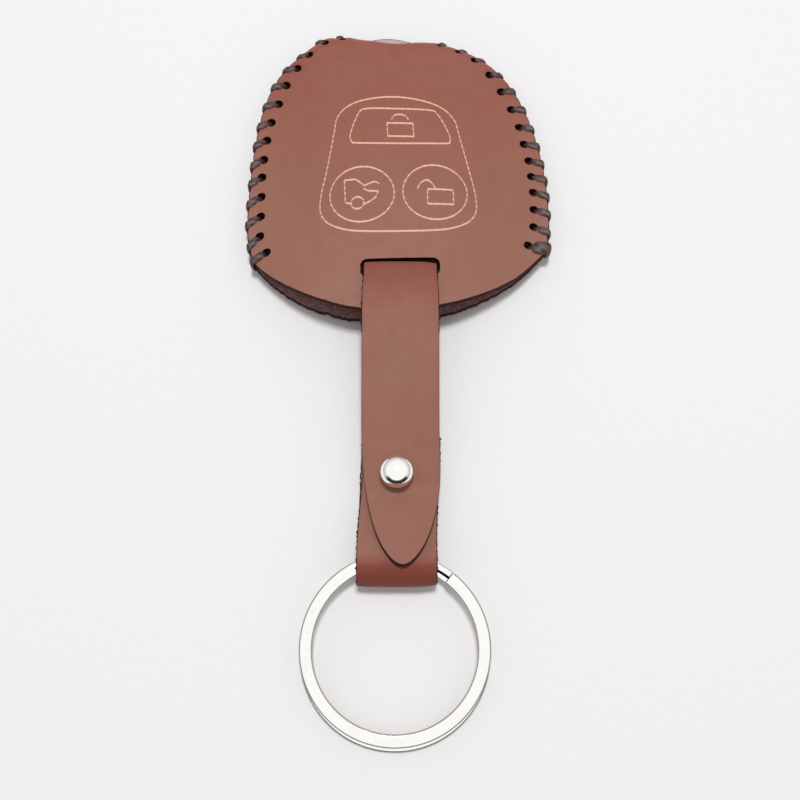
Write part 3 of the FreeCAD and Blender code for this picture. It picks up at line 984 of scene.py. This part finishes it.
def strap_front():
    """From inside the slot up, over the front and down past the lip."""
    corners = np.array([[bridge_y, slot_middle], [bridge_y, lip[2]], lip[1:], seam])
    route = rows_along(rounded_line(corners, [bend_r, lip_r]))
    run = lengths(route)
    pinch = slot_pinch * (1 - smoothstep((run - pinch_start) / pinch_run))
    sheet, bend = strip(route, front_shift, front_face, pinch)
    reddened = top_red * (1 - smoothstep((run - pinch_start) / top_red_run))
    bend = np.maximum(fold_red_share * bend, reddened[:, None])
    return new_piece("strap_front_leg", [sheet], strap_finishes, attributes=[("bend", bend)])


def strap_back(recess_steps=48):
    """From the slot down the back, round the ring and back under the tongue, with the screw's recess."""
    south = loop[1] - loop_r
    tail = np.array([stud_y + return_tail, return_z])
    corners = np.array([[bridge_y, slot_middle], [bridge_y, half_t], [south, half_t], [south, loop_top[1]],
                        loop_top, landing, tail])
    route = rows_along(rounded_line(corners, [bend_r, loop_r, loop_r, loop_r, landing_r]))
    run = lengths(route)
    shift = front_shift * (1 - smoothstep((run - back_drift_start) / back_drift_run))
    shift = shift + tail_shift * smoothstep((run - run[-1] + tail_drift_run) / tail_drift_run)
    sheet, bend = strip(route, shift, back_face)
    piece = new_piece("strap_back_leg_and_loop", [sheet], strap_finishes, attributes=[("bend", bend)])
    recess = recess_r * circle(round_turn(recess_steps)) + [0, stud_y]
    return cut_away(piece, [upright(recess, cutter_low, recess_depth)], strap_finishes)


def tongue_plan(side_count=90, tip_count=170, seam_count=44, fine=400):
    """The flap's outline, clockwise from the seam's right end, and its rounding: side, tip, side and seam.

    The tip is a pointed half ellipse, whose half width is cos(turn)^fullness.
    """
    right = np.linspace([strap_half, seam_y], [strap_half, taper_y], side_count)
    turn = np.linspace(0, math.pi, fine)
    half_width = strap_half * np.sign(np.cos(turn)) * np.abs(np.cos(turn)) ** tongue_fullness
    tip = evenly(np.stack([half_width, taper_y - tongue_taper * np.sin(turn)], axis=1), tip_count)
    left = right[::-1] * mirrored
    across = np.linspace(left[-1], right[0], seam_count)
    edge = np.concatenate([right[:-1], tip[:-1], left[:-1], across[:-1]])
    return edge, tongue_round * smoothstep((seam_y - edge[:, 1]) / seam_ease)


tongue_centre = np.array([0.0, -14.0])


def strap_tongue(keyhole_steps=40):
    """The flap, laid along its route with its thickness square to it, with the stud's buttonhole and slit."""
    line = rounded_line(np.array([seam, tongue_low, tongue_tip]), [tongue_bend_r], arc_steps=60)[::-1]
    edge, rounding = tongue_plan()
    plan, level, finish = sheet_rings(edge, rounding, tongue_centre, grain, flesh, burnished=2)
    across, y = plan[..., 0], plan[..., 1]
    middle = np.interp(y, line[:, 0], line[:, 1])
    pitch = np.interp(y, line[:, 0], np.gradient(line[:, 1], line[:, 0]))
    off = (2 * level - 1) * half_t - curl(across)
    tilt = np.hypot(1, pitch)
    askew = tongue_askew * smoothstep((askew_start - y) / askew_run)
    points = np.stack([across + front_shift + askew, y - off * pitch / tilt, middle + off / tilt], axis=-1)
    piece = new_piece("strap_tongue", [surface(points, finish)], strap_finishes)
    start = math.asin(slit_half / buttonhole_r)
    turn = np.linspace(start, 2 * math.pi - start, keyhole_steps) - math.pi / 2
    slit_end = -buttonhole_r - slit_length
    slit = [[-slit_half, slit_end], [slit_half, slit_end]]
    keyhole = np.concatenate([buttonhole_r * circle(turn), slit]) + [0, stud_y]
    return cut_away(piece, [upright(keyhole, buttonhole_low, cutter_high)], strap_finishes)


# Metal
ball_swell = 0.12
ball_flat_share = 0.77
collar_t = 0.25
collar_ease = 0.07
neck_r = 1.4


def ball_stud(steps=72, rows=40):
    """Collar with eased edges, neck and ball: a profile of radii and heights turned about the upright."""
    ball_r = ball_high[0] + ball_swell
    half_height = ball_r * ball_flat_share
    middle = ball_high[2] - 2 * ball_high[0] + half_height
    low = ball_low[2]
    start = math.pi - math.asin(neck_r / ball_r)
    turn = np.linspace(start, 0, rows)
    ball = np.stack([ball_r * np.sin(turn), middle + half_height * np.cos(turn)], axis=1)
    high = low + collar_t
    ease = collar_ease
    foot = [(0, low), (collar_r - ease, low), (collar_r, low + ease), (collar_r, high - ease),
            (collar_r - ease, high), (neck_r + 2 * ease, high), (neck_r, high + 2 * ease)]
    radius, height = np.concatenate([foot, ball]).T
    about = round_turn(steps)
    x = radius[:, None] * np.cos(about)
    y = stud_y + radius[:, None] * np.sin(about)
    points = np.stack([x, y, np.broadcast_to(height[:, None], x.shape)], axis=-1)
    return new_piece("nickel_ball_stud", [surface(points)], [nickel], sharp_deg=50)


ring_band = 2.0
coil_t = 0.95
coil_gap = 0.15
inner_round = 0.13
outer_round = 0.24
split_deg = 52.0
ramp_deg = 30.0
overlap_deg = 34.0
ring_left = 0.28
ring_north = 0.14
ring_squeeze = 0.0125
lower_bulge = 0.8
ring_steps = 560
first_end_from = -90.0
first_end_past = 3.0
beside_before = 2.0
end_inset = 0.62
end_narrowing = 0.64
beside_share = 0.52
top_columns = slice(5, 8)
bottom_columns = slice(21, 24)
bevel_columns = slice(24, 31)
flank_columns = slice(29, 32)
bevel = 0.5


def wire_section():
    """Flat wire, crisp inside the ring and eased outside it: corner arcs, and flats with support points."""
    half = np.array([ring_band / 2, coil_t / 2])
    stretches = []
    for quarter, radius in enumerate((outer_round, inner_round, inner_round, outer_round)):
        turn = (quarter + np.linspace(0, 1, 6)) * math.pi / 2
        middle = turn.mean()
        corner = np.sign([math.cos(middle), math.sin(middle)]) * (half - radius)
        stretches.append(corner + radius * circle(turn))
    nexts = stretches[1:] + stretches[:1]
    flats = [np.linspace(one[-1], two[0], 12)[[1, 10]] for one, two in zip(stretches, nexts)]
    return np.concatenate([part for pair in zip(stretches, flats) for part in pair])


def window(angle, start_deg, end_deg, ease_deg=6):
    """1 between two angles, easing to 0 outside them."""
    rising = smoothstep((angle - math.radians(start_deg - ease_deg)) / math.radians(ease_deg))
    return rising * smoothstep((math.radians(end_deg + ease_deg) - angle) / math.radians(ease_deg))


def split_ring():
    """Flat wire in two coils, stepping up on the ramp, where the wire and its first end lie abreast."""
    ring_r = ring_high[0]
    rise = coil_t + coil_gap
    ramp_start = 360 + split_deg
    angle = np.radians(np.linspace(split_deg + ramp_deg - overlap_deg, 720 + split_deg, ring_steps))
    on_ramp = smoothstep((angle - math.radians(ramp_start)) / math.radians(ramp_deg))
    wire_across, wire_up = wire_section().T
    first_end = window(angle, first_end_from, split_deg + ramp_deg + first_end_past)[:, None]
    beside = window(angle, ramp_start - beside_before, ramp_start + ramp_deg)[:, None]
    aside = first_end * (-end_inset - end_narrowing * wire_across)
    across = wire_across + aside + beside * (beside_share - beside_share * wire_across)
    across[:, bevel_columns] += bevel * first_end
    bulge = lower_bulge * (1 - on_ramp) * np.maximum(-np.sin(angle), 0)
    radius = ring_r - ring_band / 2 + across + bulge[:, None]
    x = radius * np.cos(angle)[:, None] - ring_left
    y = radius * np.sin(angle)[:, None]
    z = rise * (on_ramp - 0.5)[:, None] + wire_up
    inner = math.sqrt((ring_r - ring_band) ** 2 - strap_half ** 2)
    hang = (ring_r + inner) / 2
    reach = hang + ring_r
    half_stack = coil_t + coil_gap / 2
    lean = math.asin(loop[2] / math.hypot(reach, half_stack)) - math.atan(half_stack / reach)
    y = (y - hang) * (1 - ring_squeeze) + ring_north
    points = np.stack([x, y * math.cos(lean) - z * math.sin(lean) + loop[1],
                       y * math.sin(lean) + z * math.cos(lean) + loop[2]], axis=-1)
    finish = np.ones((len(angle) - 1, len(wire_up)), int)
    finish[:, top_columns] = 0
    finish[:, bottom_columns] = 0
    # The flanks beside the split get the dark steel: painted shade in the gap between the strands
    finish[:, flank_columns] += first_end[:-1] > 0.5
    finishes = [nickel, wire_edge, gap_shade_steel]
    return new_piece("flat_wire_split_ring", [surface(points, finish, capped=True)], finishes, sharp_deg=50)


# Pieces, what they move with and the solids that they stand for
front = panel("front_panel_leather", front_under, grain, flesh, front_ragged, dip_share=1)
back = panel("back_panel_leather", back_under, flesh, grain, back_ragged, dip_share=-back_hump_share,
             spread=back_spread, overhang=back_overhang, shade_bands=back_shade_bands)
picture = button_picture()
left = whip_stitches("left_whip_stitching", left_plan, -1, [edge_length - left_end_back], [left_end_lift],
                     knotted=False)
right = whip_stitches("right_whip_stitching", right_plan, 1, [], [], knotted=True)
front_leg = strap_front()
tongue = strap_tongue()
back_leg = strap_back()
stud = ball_stud()
ring = split_ring()
for piece, body, node, slot in (
        (front, "cover", "front_panel", "panel_leather"), (back, "cover", "back_panel", "panel_leather"),
        (left, "cover", "left_thread", "thread"), (right, "cover", "right_thread", "thread"),
        (stud, "strap", "stud_ball", "nickel"), (ring, "ring", "split_ring", "nickel")):
    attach(piece, body)
    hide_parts(node)
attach(picture, "cover")

# Where along Y each stretch of the strap passes from one body to the next, and how high it lies there.
# Nothing reads these values: each strap piece only has its transform baked into its mesh and is attached to
# no body.
lip_bend = (9.0, 3.4, lip[2])
fold_bend = (2.6, -3.0, fold[2])
back_bend = (13.0, -10.0, half_t)
for piece, parent, child, (from_y, to_y, z) in (
        (front_leg, "cover", "strap", lip_bend), (tongue, "strap", "flap", fold_bend),
        (back_leg, "cover", "strap", back_bend)):
    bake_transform(piece)
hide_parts("strap_bridge", "strap_neck")
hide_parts("strap_flap")
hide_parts("strap_back_leg")

# The screw is shown as its solid
screw = frame["nodes"]["stud_screw"]
screw.data.materials.clear()
screw.data.materials.append(nickel)


# Floor, light and camera
background_level = 0.95
fill_level = 0.45
card_level = 0.03
floor_half = 1500
floor_drop = 0.05
fade_start = 130
fade_end = 450
lamp_place = (15, 138, 690)
lamp_width = 130
lamp_depth = 110
lamp_power = 2.72


def direct_rays(tree, path):
    """1 for rays that come straight from the camera, or through glass."""
    return add(tree, "Math", {0: path.outputs["Is Camera Ray"], 1: path.outputs["Is Transmission Ray"]},
               operation="MAXIMUM")


def pale_floor():
    """A matte off-white floor, running out into a plain white background."""
    material, tree, shader, place = new_material("matte_off_white_floor")
    mottle = add(tree, "TexNoise", {"Vector": place, "Scale": per_mm(1.2), "Detail": 3.0})
    colour = add(tree, "Mix", {mix_by: mottle, mix_a: "#F8F7F7", mix_b: "#F4F3F3"}, data_type="RGBA")
    connect(tree, shader, {"Base Color": colour, "Roughness": 0.9, "Specular IOR Level": 0.2})
    away = add(tree, "VectorMath", {0: place}, operation="LENGTH")
    far = add(tree, "MapRange", {"Value": away.outputs["Value"], "From Min": fade_start * MM,
                                 "From Max": fade_end * MM}, interpolation_type="SMOOTHSTEP")
    path = add(tree, "LightPath", {})
    shown = add(tree, "Math", {0: direct_rays(tree, path), 1: path.outputs["Is Glossy Ray"]},
                operation="MAXIMUM")
    share = add(tree, "Math", {0: far, 1: shown}, operation="MULTIPLY")
    white = add(tree, "Emission", {"Strength": background_level})
    both = add(tree, "MixShader", {0: share, 1: shader, 2: white})
    connect(tree, tree.nodes["Material Output"], {"Surface": both})
    mesh = bpy.data.meshes.new("floor")
    half = floor_half * MM
    corners = [(-half, -half, 0), (half, -half, 0), (half, half, 0), (-half, half, 0)]
    mesh.from_pydata(corners, [], [(0, 1, 2, 3)])
    mesh.materials.append(material)
    floor = bpy.data.objects.new("floor", mesh)
    floor.location.z = -floor_drop * MM
    scene.collection.objects.link(floor)


def soft_lamp(name, place, width, depth, power):
    """A soft box that faces the cover."""
    data = bpy.data.lights.new(name, "AREA")
    data.shape = "RECTANGLE"
    data.size = width * MM
    data.size_y = depth * MM
    data.energy = power
    lamp = bpy.data.objects.new(name, data)
    lamp.location = np.array(place) * MM
    lamp.rotation_euler = (-lamp.location).to_track_quat("-Z", "Y").to_euler()
    scene.collection.objects.link(lamp)


def studio_world():
    """An even fill. Metal mirrors white overhead, grey towards the horizon and a dark card to the south."""
    world = bpy.data.worlds.new("studio")
    scene.world = world
    world.use_nodes = True
    tree = world.node_tree
    path = add(tree, "LightPath", {})
    toward = add(tree, "SeparateXYZ", {0: add(tree, "TexCoord", {}).outputs["Generated"]})
    height = toward.outputs["Z"]
    sky = add(tree, "MapRange", {"Value": height, "From Min": 0.0, "From Max": 0.6, "To Min": 0.4,
                                 "To Max": 1.0})
    south = add(tree, "MapRange", {"Value": toward.outputs["Y"], "From Min": -0.3, "From Max": -0.6},
                interpolation_type="SMOOTHSTEP")
    below = add(tree, "MapRange", {"Value": height, "From Min": 0.58, "From Max": 0.46},
                interpolation_type="SMOOTHSTEP")
    card = add(tree, "Math", {0: below, 1: south}, operation="MULTIPLY")
    mirrored_sky = add(tree, "Mix", {mix_by: card, number_a: sky, number_b: card_level})
    lit = add(tree, "Mix", {mix_by: path.outputs["Is Glossy Ray"], number_a: fill_level,
                            number_b: mirrored_sky})
    level = add(tree, "Mix", {mix_by: direct_rays(tree, path), number_a: lit, number_b: background_level})
    connect(tree, tree.nodes["Background"], {"Strength": level, "Color": "#FFFFFF"})


pale_floor()
soft_lamp("overhead_soft_box", lamp_place, lamp_width, lamp_depth, lamp_power)
studio_world()

# The camera, at the photo's angle
focal_px = 895
image_px = 800
sensor = 36
near_clip = 5
camera_place = np.array([0.5, -41.57, 147.7])
camera_tilt_deg = 13.5
camera_data = bpy.data.cameras.new("camera")
camera_data.sensor_width = sensor
camera_data.lens = sensor * focal_px / image_px
camera_data.clip_start = near_clip * MM
camera = bpy.data.objects.new("camera", camera_data)
camera.location = camera_place * MM
camera.rotation_euler = (math.radians(camera_tilt_deg), 0, 0)
scene.collection.objects.link(camera)
scene.camera = camera
